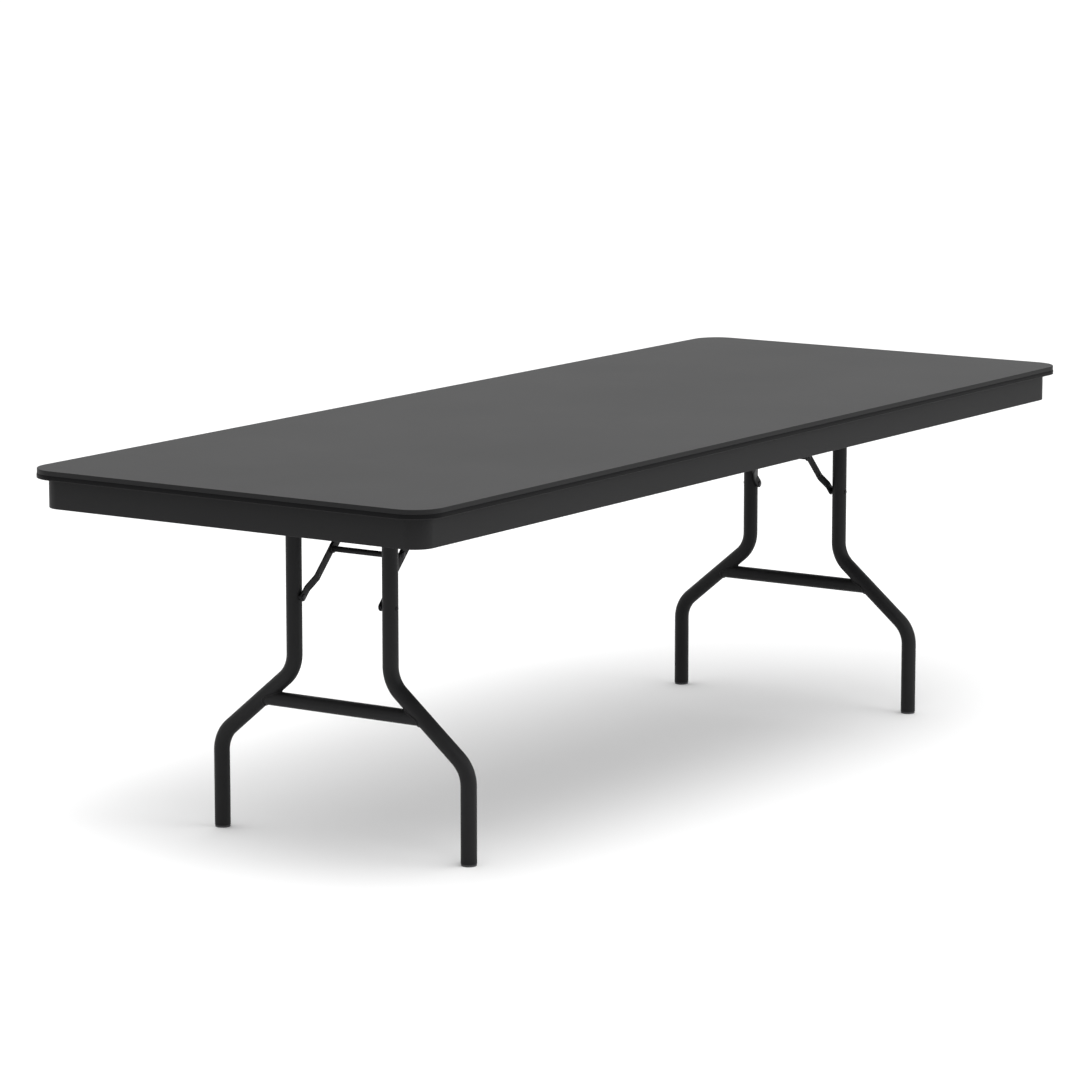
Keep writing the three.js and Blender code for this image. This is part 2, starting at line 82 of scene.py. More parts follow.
def closed_mesh(name, grids):
    """One mesh from grids of points, grid[row, column], whose columns run round in a ring. Each cell
    is a face. A grid marked as a ring joins its last row to its first, and any other has a flat face
    at each end. Faces are turned so that the volume they enclose, a third of the sum of point times
    area, is positive."""
    points, faces, count = [], [], 0
    for grid, is_ring in grids:
        rows, columns = grid.shape[:2]
        index = np.arange(rows * columns).reshape(rows, columns)
        if is_ring:
            index = np.vstack([index, index[:1]])
        here, there = index[:-1], index[1:]
        quads = np.stack([here, there, np.roll(there, -1, 1), np.roll(here, -1, 1)], 2).reshape(-1, 4)
        flat = grid.reshape(-1, 3)
        corner = flat[quads] - flat.mean(0)
        area = np.cross(corner[:, 2] - corner[:, 0], corner[:, 3] - corner[:, 1])
        volume = (corner.mean(1) * area).sum()
        ends = []
        if not is_ring:
            ends = [index[0].tolist(), index[-1][::-1].tolist()]
            for end in ends:
                ring = flat[end] - flat.mean(0)
                end_area = np.cross(ring, np.roll(ring, -1, 0)).sum(0)
                volume += ring.mean(0) @ end_area
        made = quads.tolist() + ends
        if volume < 0:
            made = [face[::-1] for face in made]
        points.append(flat)
        faces.extend([[corner_index + count for corner_index in face] for face in made])
        count += len(flat)
    mesh = bpy.data.meshes.new(name)
    mesh.from_pydata(np.vstack(points).tolist(), [], faces)
    mesh.validate()
    mesh.shade_smooth()
    mesh.set_sharp_from_angle(angle=SHARP_ANGLE)
    return mesh


def add_piece(name, grids, material, body, slot, *nodes):
    """A finished piece: its mesh, its material, the body it rides on and the CAD nodes
    that it stands for. The slot argument is not used."""
    piece = bpy.data.objects.new(name, closed_mesh(name, grids))
    bpy.context.scene.collection.objects.link(piece)
    piece.data.materials.append(material)
    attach(piece, body)
    if nodes:
        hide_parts(*nodes)
    return piece


def new_effect(name, inputs, outputs):
    """An empty shader node group with named value, vector or colour sockets."""
    group = bpy.data.node_groups.new(name, "ShaderNodeTree")
    for socket_name, socket_type in inputs:
        group.interface.new_socket(socket_name, in_out="INPUT", socket_type=socket_type)
    for socket_name, socket_type in outputs:
        group.interface.new_socket(socket_name, in_out="OUTPUT", socket_type=socket_type)
    return group, group.nodes.new("NodeGroupInput"), group.nodes.new("NodeGroupOutput")


def noise(tree, vector, scale, detail=2.0, roughness=0.5):
    """A noise texture node that reads the vector, at a scale in waves per metre."""
    node = tree.nodes.new("ShaderNodeTexNoise")
    node.inputs["Scale"].default_value = scale
    node.inputs["Detail"].default_value = detail
    node.inputs["Roughness"].default_value = roughness
    tree.links.new(vector, node.inputs["Vector"])
    return node.outputs["Fac"]


def spread(tree, value, low, high, to_low=0.0, to_high=1.0):
    """A value's share of the way from low to high, clamped and rescaled."""
    node = tree.nodes.new("ShaderNodeMapRange")
    numbers = {"From Min": low, "From Max": high, "To Min": to_low, "To Max": to_high}
    for socket, number in numbers.items():
        node.inputs[socket].default_value = number
    tree.links.new(value, node.inputs["Value"])
    return node.outputs["Result"]


def combine(tree, operation, first, second):
    """Two values put together by a maths operation; either may be a number."""
    node = tree.nodes.new("ShaderNodeMath")
    node.operation = operation
    for socket, value in zip(node.inputs, (first, second)):
        if isinstance(value, (int, float)):
            socket.default_value = value
        else:
            tree.links.new(value, socket)
    return node.outputs[0]


PEBBLES_PER_METRE = 780
PEBBLE_BLEND = 0.35
TOOTH_PER_METRE = 2600
TOOTH_SHARE = 0.35
MOTTLE_PER_METRE = 3.5


def moulded_grain():
    """Leather-like pebbles about a millimetre across with creases between them, a finer tooth
    over both, and a broad faint mottle where the sheet stretched."""
    sockets = [("Pebble", "NodeSocketFloat"), ("Mottle", "NodeSocketFloat")]
    group, given, result = new_effect("moulded_grain", [("Position", "NodeSocketVector")], sockets)
    position = given.outputs["Position"]
    cells = group.nodes.new("ShaderNodeTexVoronoi")
    cells.feature = "SMOOTH_F1"
    cells.inputs["Scale"].default_value = PEBBLES_PER_METRE
    cells.inputs["Smoothness"].default_value = PEBBLE_BLEND
    group.links.new(position, cells.inputs["Vector"])
    pebble = spread(group, cells.outputs["Distance"], 0.1, 0.75, 1.0, 0.0)
    tooth = combine(group, "MULTIPLY", noise(group, position, TOOTH_PER_METRE, 1.0), TOOTH_SHARE)
    group.links.new(combine(group, "ADD", pebble, tooth), result.inputs["Pebble"])
    mottle = spread(group, noise(group, position, MOTTLE_PER_METRE, 3.0), 0.3, 0.7)
    group.links.new(mottle, result.inputs["Mottle"])
    return group


STREAKS_PER_METRE = 260
STREAK_STRETCH = 0.05
RUBBED_PLACES_PER_METRE = 7


def rub_marks():
    """Faint rubbing from stacking and carrying: long thin streaks along X and Y, broken up by a
    coarse noise so that only a few places show any."""
    group, given, result = new_effect(
        "rub_marks", [("Position", "NodeSocketVector")], [("Rubbed", "NodeSocketFloat")])
    streaks = []
    for stretch in ((STREAK_STRETCH, 1.0, 1.0), (1.0, STREAK_STRETCH, 1.0)):
        squeezed = group.nodes.new("ShaderNodeMapping")
        squeezed.inputs["Scale"].default_value = stretch
        group.links.new(given.outputs["Position"], squeezed.inputs["Vector"])
        lines = noise(group, squeezed.outputs["Vector"], STREAKS_PER_METRE)
        streaks.append(spread(group, lines, 0.62, 0.74))
    patches = noise(group, given.outputs["Position"], RUBBED_PLACES_PER_METRE)
    places = spread(group, patches, 0.5, 0.72)
    either = combine(group, "MAXIMUM", *streaks)
    group.links.new(combine(group, "MULTIPLY", either, places), result.inputs["Rubbed"])
    return group


GRAIN = moulded_grain()
RUBBED = rub_marks()


class Finish:
    """A material with a Principled BSDF and the Object coordinates that its pattern reads."""

    def __init__(self, name, metallic=0.0, gloss=0.12):
        self.material = bpy.data.materials.new(name)
        self.material.use_nodes = True
        self.tree = self.material.node_tree
        self.shader = self.tree.nodes["Principled BSDF"]
        self.shader.inputs["Metallic"].default_value = metallic
        self.shader.inputs["Specular IOR Level"].default_value = gloss
        self.position = self.tree.nodes.new("ShaderNodeTexCoord").outputs["Object"]

    def effect(self, group):
        """The outputs of an effect placed on this material's Object coordinates."""
        node = self.tree.nodes.new("ShaderNodeGroup")
        node.node_tree = group
        self.tree.links.new(self.position, node.inputs["Position"])
        return node.outputs

    def tint(self, share, low, high):
        """Base colour between low and high by a share that changes over the surface."""
        mix = self.tree.nodes.new("ShaderNodeMix")
        mix.data_type = "RGBA"
        mix.inputs["A"].default_value = (*low, 1)
        mix.inputs["B"].default_value = (*high, 1)
        self.tree.links.new(share, mix.inputs["Factor"])
        self.tree.links.new(mix.outputs["Result"], self.shader.inputs["Base Color"])

    def roughen(self, share, low, high):
        """Roughness between low and high by a share that changes over the surface."""
        self.tree.links.new(spread(self.tree, share, 0, 1, low, high), self.shader.inputs["Roughness"])

    def emboss(self, height, depth, strength):
        """A bump of the given depth in metres."""
        bump = self.tree.nodes.new("ShaderNodeBump")
        bump.inputs["Distance"].default_value = depth
        bump.inputs["Strength"].default_value = strength
        self.tree.links.new(height, bump.inputs["Height"])
        self.tree.links.new(bump.outputs["Normal"], self.shader.inputs["Normal"])


CHARCOAL_DARK = (0.0108, 0.0108, 0.0112)
CHARCOAL_PALE = (0.0116, 0.0116, 0.012)
RUB_PALENESS = 0.6
PEBBLE_DEPTH = 0.05 * MM


def charcoal_sheet(name):
    """Charcoal moulded plastic: grain, a broad mottle, and rubbed places that are smoother and paler."""
    finish = Finish(name)
    grain = finish.effect(GRAIN)
    rubbed = finish.effect(RUBBED)["Rubbed"]
    paler = combine(finish.tree, "MULTIPLY", rubbed, RUB_PALENESS)
    finish.tint(combine(finish.tree, "ADD", grain["Mottle"], paler), CHARCOAL_DARK, CHARCOAL_PALE)
    finish.roughen(combine(finish.tree, "SUBTRACT", grain["Mottle"], rubbed), 0.52, 0.54)
    finish.emboss(grain["Pebble"], PEBBLE_DEPTH, 0.5)
    return finish.material


moulded = charcoal_sheet("charcoal_moulded_sheet")

top_low, top_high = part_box("top_skin")
half_length, half_width = top_high.x, top_high.y
top_z, rim_z = top_high.z, top_low.z

top_profile = np.vstack([
    [[FLAT_FROM, top_z], [TOP_EDGE_ROUND * 2, top_z]],
    arc((TOP_EDGE_ROUND, top_z - TOP_EDGE_ROUND), TOP_EDGE_ROUND, 90, 180, 7),
    arc((RIM_EDGE_ROUND, rim_z + RIM_EDGE_ROUND), RIM_EDGE_ROUND, 180, 270, 5),
    [[RIM_WALL, rim_z], [RIM_WALL, top_z - SHEET], [FLAT_FROM, top_z - SHEET]],
])
top_grid = carried_round(top_profile, half_length, half_width)
add_piece("top_sheet", [(top_grid, False)], moulded, "table_top", "moulded_top", "top_skin")

# --------------------------------
# Edge band. A black extruded strip let in between the two sheets where they meet, a little proud
# with a soft crown. The lower sheet's trimmed flange shows under it as a thin paler lip.
# --------------------------------

BAND_CROWN = 0.5 * MM
BAND_EDGE_ROUND = 0.2 * MM
BAND_DEPTH = 28 * MM
BAND_PEBBLE_DEPTH = 0.01 * MM
BAND_DARK = (0.0045, 0.0045, 0.0048)
BAND_PALE = (0.005, 0.005, 0.0053)
LIP_THICKNESS = 1.6 * MM

band_finish = Finish("black_edge_band", gloss=0.05)
band_grain = band_finish.effect(GRAIN)
band_finish.tint(band_grain["Mottle"], BAND_DARK, BAND_PALE)
band_finish.roughen(band_grain["Mottle"], 0.46, 0.5)
band_finish.emboss(band_grain["Pebble"], BAND_PEBBLE_DEPTH, 0.4)

band_low, band_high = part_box("edge_band")
proud = half_length - band_high.x
band_foot = band_low.z + LIP_THICKNESS
crown_height = np.linspace(band_high.z - BAND_EDGE_ROUND, band_foot + BAND_EDGE_ROUND, 9)
crown_share = np.sin(np.linspace(0, np.pi, 9))
crown = np.stack([proud + BAND_CROWN * (1 - crown_share), crown_height], 1)
edge_inset = proud + BAND_CROWN + BAND_EDGE_ROUND
band_profile = np.vstack([
    [[BAND_DEPTH, band_high.z]],
    arc((edge_inset, band_high.z - BAND_EDGE_ROUND), BAND_EDGE_ROUND, 90, 170, 4),
    crown[1:-1],
    arc((edge_inset, band_foot + BAND_EDGE_ROUND), BAND_EDGE_ROUND, 190, 270, 4),
    [[BAND_DEPTH, band_foot]],
])
band_grid = carried_round(band_profile, half_length, half_width)
add_piece("edge_strip", [(band_grid, True)], band_finish.material, "table_top", "edge_band", "edge_band")
lip_round = LIP_THICKNESS / 2
lip_profile = np.vstack([
    [[BAND_DEPTH, band_foot]],
    arc((proud + lip_round, band_low.z + lip_round), lip_round, 90, 270, 9),
    [[BAND_DEPTH, band_low.z]],
])
lip_grid = carried_round(lip_profile, half_length, half_width)
add_piece("flange_lip", [(lip_grid, True)], moulded, "table_top", "moulded_top")

# --------------------------------
# Underside sheet. The lower formed sheet: a hollow rail all round makes the apron, and the pan
# between the rails carries the legs' fittings. It has the same grain as the top.
# --------------------------------

APRON_EDGE_ROUND = 1.2 * MM
RAIL_WIDTH = 34 * MM
RAIL_EDGE_ROUND = 3 * MM
PAN_CORNER_ROUND = 4 * MM
FIT = 0.3 * MM

apron_low, apron_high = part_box("apron_shell")
apron_inset = half_length - apron_high.x
rail_back = apron_inset + RAIL_WIDTH
core_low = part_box("core_panel")[0]
pan_top = core_low.z - FIT
pan_low = pan_top - SHEET
pan_from = rail_back + 3 * PAN_CORNER_ROUND
under_profile = np.vstack([
    [[pan_from, pan_low], [rail_back + 2 * PAN_CORNER_ROUND, pan_low]],
    arc((rail_back + PAN_CORNER_ROUND, pan_low - PAN_CORNER_ROUND), PAN_CORNER_ROUND, 90, 180, 6),
    arc((rail_back - RAIL_EDGE_ROUND, apron_low.z + RAIL_EDGE_ROUND), RAIL_EDGE_ROUND, 0, -90, 6),
    arc((apron_inset + APRON_EDGE_ROUND, apron_low.z + APRON_EDGE_ROUND), APRON_EDGE_ROUND, 270, 180, 6),
    [[apron_inset, apron_high.z], [apron_inset + SHEET, apron_high.z]],
    [[apron_inset + SHEET, apron_low.z + SHEET], [rail_back - SHEET, apron_low.z + SHEET]],
    [[rail_back - SHEET, pan_top], [pan_from, pan_top]],
])
under_grid = carried_round(under_profile, half_length, half_width)
add_piece("underside_sheet", [(under_grid, False)], moulded, "table_top", "moulded_top", "apron_shell")

# --------------------------------
# Core panel. Stiff wood-fibre board bonded between the two sheets. It is the CAD solid itself,
# hidden inside the top, with the pressed flecks of raw board.
# --------------------------------

FLECKS_PER_METRE = 420
BOARD_DARK = (0.36, 0.25, 0.14)
BOARD_PALE = (0.62, 0.49, 0.31)
FLECK_DEPTH = 0.2 * MM

core_finish = Finish("raw_fibre_board")
flecks = noise(core_finish.tree, core_finish.position, FLECKS_PER_METRE, 5.0, 0.7)
core_finish.tint(spread(core_finish.tree, flecks, 0.3, 0.7), BOARD_DARK, BOARD_PALE)
core_finish.roughen(flecks, 0.8, 0.95)
core_finish.emboss(flecks, FLECK_DEPTH, 0.6)
core_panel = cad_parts["core_panel"]
core_panel.data.materials.clear()
core_panel.data.materials.append(core_finish.material)

# --------------------------------
# Bent legs. Round steel tube bent twice, so each frame spreads to a wide foot, and powder
# coated satin black. The top end is coped to sit on the cross tube.
# --------------------------------

LEG_SETS = (("near", 1), ("far", -1))
HANDS = (("left", 1), ("right", -1))
CORNERS = [(f"{end}_{hand}", end, turn, side) for end, turn in LEG_SETS for hand, side in HANDS]
TUBE_WALL = 1.5 * MM
KNEE_RADIUS = 65 * MM
UPPER_KNEE_Z = 330.5 * MM
LOWER_KNEE_Z = 182.2 * MM
TUBE_SIDES = 48
BEND_STEPS = 14
COAT_DARK = (0.0112, 0.0112, 0.0117)
COAT_PALE = (0.0132, 0.0132, 0.0137)
DIMPLES_PER_METRE = 480
DIMPLE_DEPTH = 0.06 * MM
NIBS_PER_METRE = 900
NIB_SHARE = 0.5
DRIFT_PER_METRE = 24
SCUFFED_BELOW = 0.16
SCUFF_SHARE = 0.7


def orange_peel():
    """The skin of a powder coat: soft dimples about two millimetres across, with dust nibs as rare
    fine peaks, and a slow drift in how thick the coat lies."""
    sockets = [("Dimples", "NodeSocketFloat"), ("Drift", "NodeSocketFloat")]
    group, given, result = new_effect("orange_peel", [("Position", "NodeSocketVector")], sockets)
    position = given.outputs["Position"]
    peaks = spread(group, noise(group, position, NIBS_PER_METRE, 1.0), 0.74, 0.8)
    nibs = combine(group, "MULTIPLY", peaks, NIB_SHARE)
    dimples = noise(group, position, DIMPLES_PER_METRE, 1.0)
    group.links.new(combine(group, "ADD", dimples, nibs), result.inputs["Dimples"])
    drift = spread(group, noise(group, position, DRIFT_PER_METRE), 0.3, 0.7)
    group.links.new(drift, result.inputs["Drift"])
    return group


ORANGE_PEEL = orange_peel()


def powder_coat(name):
    """Satin black powder coat, a little duller and paler just above the floor, where feet scuff it."""
    finish = Finish(name)
    peel = finish.effect(ORANGE_PEEL)
    height = finish.tree.nodes.new("ShaderNodeSeparateXYZ")
    finish.tree.links.new(finish.position, height.inputs["Vector"])
    low_down = spread(finish.tree, height.outputs["Z"], 0.0, SCUFFED_BELOW, SCUFF_SHARE, 0.0)
    scuffed = combine(finish.tree, "MULTIPLY", low_down, peel["Drift"])
    finish.tint(combine(finish.tree, "ADD", peel["Drift"], scuffed), COAT_DARK, COAT_PALE)
    finish.roughen(combine(finish.tree, "ADD", peel["Drift"], scuffed), 0.44, 0.5)
    finish.emboss(peel["Dimples"], DIMPLE_DEPTH, 0.35)
    return finish.material


black_coat = powder_coat("satin_black_powder_coat")


def middle(node):
    """The middle of a CAD node's box."""
    low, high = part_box(node)
    return (low + high) / 2


def set_in_place(end, turn, points):
    """Points given as [out from the leg plane, across, up] put where an end's leg frame stands. The
    far frame is the near one turned half round."""
    leg_plane = middle(f"{end}_pivot_tube").x
    out, across, up = np.moveaxis(points, -1, 0)
    return np.stack([leg_plane + turn * out, turn * across, up], -1)


def bent_path(corners, radius, steps):
    """Points and headings along straight runs joined by arcs of one radius. An arc starts radius
    times tan(half the turn) before its corner, and its points are the arc's centre plus radius
    times the inward heading turned step by step."""
    corners = np.array(corners)
    points, headings = [corners[0]], []
    run = np.diff(corners, axis=0)
    run /= np.linalg.norm(run, axis=1)[:, None]
    headings.append(run[0])
    for i in range(1, len(corners) - 1):
        before, after = run[i - 1], run[i]
        turn = math.atan2(before[0] * after[1] - before[1] * after[0], before @ after)
        inward = np.array([-before[1], before[0]]) * math.copysign(1, turn)
        centre = corners[i] - before * radius * math.tan(abs(turn) / 2) + inward * radius
        for share in np.linspace(0, 1, steps):
            c, s = math.cos(turn * share), math.sin(turn * share)
            spin = np.array([[c, -s], [s, c]])
            points.append(centre - spin @ inward * radius)
            headings.append(spin @ before)
    points.append(corners[-1])
    headings.append(run[-1])
    return np.array(points), np.array(headings)


def ring_of(sides):
    """Cosines and sines of evenly spaced angles once round."""
    angle = np.linspace(0, 2 * np.pi, sides, endpoint=False)
    return np.cos(angle), np.sin(angle)


def swept_tube(points, headings, radius):
    """A tube along a path in the across-up plane: each ring is the path's point plus radius times
    (sine along the sideways normal, cosine out of the plane)."""
    out, side = ring_of(TUBE_SIDES)
    sideways = np.stack([-headings[:, 1], headings[:, 0]], 1)
    radius = np.broadcast_to(radius, len(points))[:, None]
    across = points[:, :1] + sideways[:, :1] * side * radius
    up = points[:, 1:] + sideways[:, 1:] * side * radius
    return np.stack([out * radius + 0 * across, across, up], 2)


pivot_low, pivot_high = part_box("near_pivot_tube")
pivot_z = middle("near_pivot_tube").z
pivot_radius = (pivot_high.z - pivot_low.z) / 2
leg_low, leg_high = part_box("near_left_leg_tube")
tube_radius = (leg_high.x - leg_low.x) / 2
upright_y = leg_low.y + tube_radius
foot_y = middle("near_left_glide").y


def leg_surface(hand_side, radius):
    """The leg's surface at a radius, with its top ring drawn down on to the cross tube: height is
    the cross tube's centre less the root of its radius squared less distance out squared."""
    corners = [
        (hand_side * upright_y, leg_high.z),
        (hand_side * upright_y, UPPER_KNEE_Z),
        (hand_side * foot_y, LOWER_KNEE_Z),
        (hand_side * foot_y, leg_low.z),
    ]
    grid = swept_tube(*bent_path(corners, KNEE_RADIUS, BEND_STEPS), radius)
    out = grid[0, :, 0]
    saddle = pivot_z - np.sqrt(np.maximum(pivot_radius ** 2 - out ** 2, 0))
    grid[0, :, 2] = np.minimum(leg_high.z, saddle)
    return grid


for corner, end, turn, side in CORNERS:
    outside = leg_surface(side, tube_radius)
    inside = leg_surface(side, tube_radius - TUBE_WALL)[::-1]
    wall = set_in_place(end, turn, np.concatenate([outside, inside]))
    add_piece(f"{corner}_bent_leg", [(wall, True)], black_coat, f"{end}_leg_frame", "leg_paint",
              f"{corner}_leg_tube")

# --------------------------------
# Cross tube and stretcher. The cross tube is the axle that each frame turns on, open at both
# ends. The stretcher ties the slanting runs together, with its ends cut to fit round them.
# --------------------------------

STRETCHER_SIDES = 48
STRETCHER_RINGS = 7
TUBE_EASE = 0.4 * MM
stretcher_low, stretcher_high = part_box("near_stretcher_tube")
stretcher_radius = (stretcher_high.x - stretcher_low.x) / 2
stretcher_z = middle("near_stretcher_tube").z
slant = np.array([foot_y - upright_y, LOWER_KNEE_Z - UPPER_KNEE_Z])
slant_drop = abs(slant[1]) / np.linalg.norm(slant)


def stretcher_end(radius):
    """Where a tube of this radius meets the slanting run: across is the run's centre at that height,
    less the root of the leg's radius squared less distance out squared, over the run's drop."""
    out, up = ring_of(STRETCHER_SIDES)
    out, up = radius * out, stretcher_z + radius * up
    centre = upright_y + slant[0] * (up - UPPER_KNEE_Z) / slant[1]
    meeting = centre - np.sqrt(tube_radius ** 2 - out ** 2) / slant_drop
    return np.stack([out, meeting, up], 1)


def stretcher_surface(radius):
    """Rings between the two shaped ends, each a share of the way across."""
    shaped = stretcher_end(radius)
    share = np.linspace(-1, 1, STRETCHER_RINGS)[:, None]
    return np.stack([shaped[:, 0] + 0 * share, shaped[:, 1] * share, shaped[:, 2] + 0 * share], 2)


def straight_tube(centre_z, radius, half_length, ease):
    """Rings of a straight tube across the table. The end rings' radius is less by the ease."""
    inner_ring = half_length - TUBE_EASE
    across = np.array([-half_length, -inner_ring, inner_ring, half_length])[:, None]
    size = radius - np.array([ease, 0, 0, ease])[:, None]
    out, up = ring_of(TUBE_SIDES)
    return np.stack([out * size, across + 0 * out, centre_z + up * size], 2)


for end, turn in LEG_SETS:
    body = f"{end}_leg_frame"
    outside = straight_tube(pivot_z, pivot_radius, pivot_high.y, TUBE_EASE)
    inside = straight_tube(pivot_z, pivot_radius - TUBE_WALL, pivot_high.y, 0)[::-1]
    axle = set_in_place(end, turn, np.concatenate([outside, inside]))
    add_piece(f"{end}_cross_tube", [(axle, True)], black_coat, body, "leg_paint", f"{end}_pivot_tube")
    outside = stretcher_surface(stretcher_radius)
    inside = stretcher_surface(stretcher_radius - TUBE_WALL)[::-1]
    tie = set_in_place(end, turn, np.concatenate([outside, inside]))
    add_piece(f"{end}_stretcher", [(tie, True)], black_coat, body, "leg_paint", f"{end}_stretcher_tube")

# --------------------------------
# Weld beads. Each tube joint is welded all round before coating: the stretcher to the slanting
# runs, and the legs to the cross tube. The bead's ripples show through the coat.
# --------------------------------

BEAD_RADIUS = 2.1 * MM
RIPPLES = 30
RIPPLE_SWELL = 0.09
HAND_SWAY = 0.08
BEAD_SIDES = 12
BEAD_POINTS = 180


def bead_round(path):
    """A closed bead along a joint: each ring is the joint's point plus the bead's radius times cosine
    and sine in the plane across the joint. The radius swells and shrinks as a sine, ripple by
    ripple, and as a slower one for the welder's hand."""
    heading = np.roll(path, -1, 0) - np.roll(path, 1, 0)
    heading /= np.linalg.norm(heading, axis=1)[:, None]
    outward = path - path.mean(0)
    outward -= (outward * heading).sum(1)[:, None] * heading
    outward /= np.linalg.norm(outward, axis=1)[:, None]
    level = np.cross(heading, outward)
    cosine, sine = ring_of(BEAD_SIDES)
    along = np.linspace(0, 2 * np.pi, len(path), endpoint=False)[:, None]
    ripple = RIPPLE_SWELL * np.sin(RIPPLES * along)
    sway = HAND_SWAY * np.sin(3 * along + 1)
    size = BEAD_RADIUS * (1 + ripple + sway)
    reach = size[..., None] * (cosine[:, None] * outward[:, None] + sine[:, None] * level[:, None])
    return path[:, None] + reach


def smooth_loop(points):
    """The same closed loop with evenly numbered points between its own, by straight steps."""
    closed = np.vstack([points, points[:1]])
    share = np.linspace(0, len(points), BEAD_POINTS, endpoint=False)
    return np.stack([np.interp(share, np.arange(len(closed)), axis) for axis in closed.T], 1)


for end, turn in LEG_SETS:
    beads = []
    for hand, side in HANDS:
        joint = stretcher_end(stretcher_radius) * [1, side, 1]
        beads.append((set_in_place(end, turn, bead_round(smooth_loop(joint))), True))
        saddle = leg_surface(side, tube_radius)[0]
        beads.append((set_in_place(end, turn, bead_round(smooth_loop(saddle))), True))
    add_piece(f"{end}_weld_beads", beads, black_coat, f"{end}_leg_frame", "leg_paint")

# --------------------------------
# Glides. Turned nylon plugs pressed into the foot of each leg, whose heads stand just wider than
# the bore and keep the steel off the floor.
# --------------------------------

GLIDE_HEAD = 4 * MM
GLIDE_CORE = 2 * MM
GLIDE_STEM_RADIUS = 13.4 * MM
FOOT_ROUND = 1.2 * MM
SHOULDER_ROUND = 0.5 * MM
TURNED_SIDES = 40
NYLON_PER_METRE = 900
NYLON_DARK = (0.055, 0.055, 0.058)
NYLON_PALE = (0.075, 0.075, 0.078)
NYLON_DEPTH = 0.04 * MM

glide_finish = Finish("grey_nylon")
nylon = noise(glide_finish.tree, glide_finish.position, NYLON_PER_METRE)
glide_finish.tint(nylon, NYLON_DARK, NYLON_PALE)
glide_finish.roughen(nylon, 0.45, 0.6)
glide_finish.emboss(nylon, NYLON_DEPTH, 0.4)


def turned(profile, centre, axis, side=1):
    """A turned piece: the profile's [radius, along] swung round an axis through the centre, which is
    across for a pin and up for a glide or screw."""
    radius, along = np.array(profile, float).T[:, :, None]
    cosine, sine = ring_of(TURNED_SIDES)
    first, second, length = radius * cosine, radius * sine, side * along + 0 * cosine
    order = {"across": (first, length, second), "up": (first, second, length)}[axis]
    return np.array(centre) + np.stack(order, 2)


glide_low, glide_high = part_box("near_left_glide")
glide_radius = (glide_high.x - glide_low.x) / 2
glide_profile = np.vstack([
    [[GLIDE_CORE, 0], [glide_radius - FOOT_ROUND, 0]],
    arc((glide_radius - FOOT_ROUND, FOOT_ROUND), FOOT_ROUND, -80, 0, 5),
    arc((glide_radius - SHOULDER_ROUND, GLIDE_HEAD - SHOULDER_ROUND), SHOULDER_ROUND, 0, 90, 4),
    [[GLIDE_STEM_RADIUS, GLIDE_HEAD], [GLIDE_STEM_RADIUS, glide_high.z], [GLIDE_CORE, glide_high.z]],
])
for corner, end, turn, side in CORNERS:
    plug = set_in_place(end, turn, turned(glide_profile, (0, side * foot_y, 0), "up"))
    add_piece(f"{corner}_foot_plug", [(plug, False)], glide_finish.material, f"{end}_leg_frame",
              "glide_plastic", f"{corner}_glide")

# --------------------------------
# Leg pins. Blackened steel pins through each upright, which the lower arm of the brace turns on:
# a low domed head inside, a collar that spaces the arm off the tube, and a flush end outside.
# --------------------------------

PIN_RADIUS = 4 * MM
POLE_ANGLE = 0.12
DOME_STEPS = 9
CLOUDS_PER_METRE = 160
PLATING_PER_METRE = 1400
PLATING_DEPTH = 0.02 * MM
METAL_RUB_PALENESS = 0.5
BLACKENED_DARK = (0.010, 0.010, 0.011)
BLACKENED_PALE = (0.022, 0.022, 0.024)


def worn_metal(name, low, high, smooth, dull):
    """Plated steel with a cloudy plating: darker and duller in patches, with fine rub marks."""
    finish = Finish(name, metallic=1.0)
    clouds = noise(finish.tree, finish.position, CLOUDS_PER_METRE, 4.0, 0.6)
    clouds = spread(finish.tree, clouds, 0.3, 0.7)
    rubbed = finish.effect(RUBBED)["Rubbed"]
    paler = combine(finish.tree, "MULTIPLY", rubbed, METAL_RUB_PALENESS)
    finish.tint(combine(finish.tree, "ADD", clouds, paler), low, high)
    finish.roughen(clouds, smooth, dull)
    finish.emboss(noise(finish.tree, finish.position, PLATING_PER_METRE), PLATING_DEPTH, 0.4)
    return finish.material


blackened = worn_metal("blackened_steel", BLACKENED_DARK, BLACKENED_PALE, 0.16, 0.24)


def dome(radius, height, from_along, outwards):
    """Half of a low domed head, from its rim to near its pole: radius times sine and height times
    cosine of an angle that runs from a right angle nearly to nothing."""
    angle = np.linspace(np.pi / 2, POLE_ANGLE, DOME_STEPS)
    return np.stack([radius * np.sin(angle), from_along + outwards * height * np.cos(angle)], 1)


def rivet(inner, outer, head_radius, head_height, shank_radius):
    """A rivet's profile from its inner dome's pole to its outer dome's, with the shank between."""
    inner_head = dome(head_radius, head_height, inner, -1)[::-1]
    outer_head = dome(head_radius, head_height, outer, 1)
    return np.vstack([inner_head, [[shank_radius, inner], [shank_radius, outer]], outer_head])


